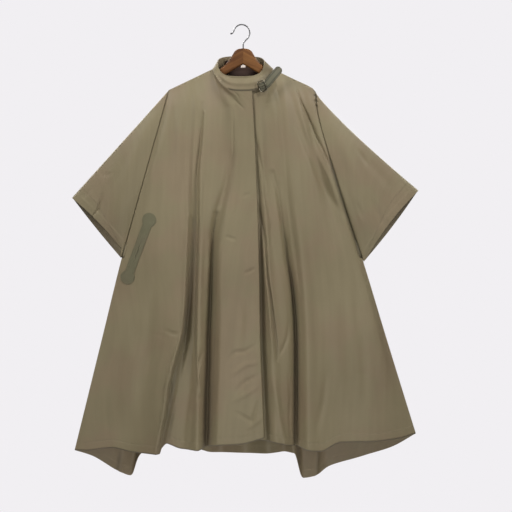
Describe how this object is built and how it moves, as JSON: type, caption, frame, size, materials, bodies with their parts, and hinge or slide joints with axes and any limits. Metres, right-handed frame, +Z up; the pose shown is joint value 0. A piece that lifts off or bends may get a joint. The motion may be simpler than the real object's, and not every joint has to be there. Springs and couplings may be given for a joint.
{
  "type": "cape on a hanger",
  "caption": "Long olive waterproof cotton cape with short wing sleeves, stand collar with strap and buckle, and a hidden front closing, hung on a wooden hanger with a wire hook.",
  "frame": {"origin": "inner crown of the hook, where it rests on its rail", "axes": "+Z up, the front faces -Y, +X to the wearer's left"},
  "size_m": [0.9361, 0.1444, 1.2355],
  "materials": {
    "cape_cloth": "fine waterproof cotton with a faint satin sheen",
    "strap_cloth": "doubled and stitched cotton",
    "patch_cloth": "darker stitched cotton",
    "label_cloth": "woven label, bare",
    "tab_cloth": "small woven tab, bare",
    "hanger_wood": "varnished brown wood",
    "hook_steel": "bright drawn wire",
    "buckle_metal": "dark plated metal, worn at the edges"
  },
  "bodies": {
    "root": {"front_right": "cape_cloth", "front_left": "cape_cloth", "back": "cape_cloth", "sleeve_right": "cape_cloth", "sleeve_left": "cape_cloth", "collar": "cape_cloth", "collar_strap": "strap_cloth", "buckle_frame": "buckle_metal", "buckle_prong": "buckle_metal", "hand_slit_patch": "patch_cloth", "neck_label": "label_cloth", "size_tab": "tab_cloth", "hanger_right": "hanger_wood", "hanger_left": "hanger_wood", "hanger_hook": "hook_steel"}
  },
  "joints": []
}
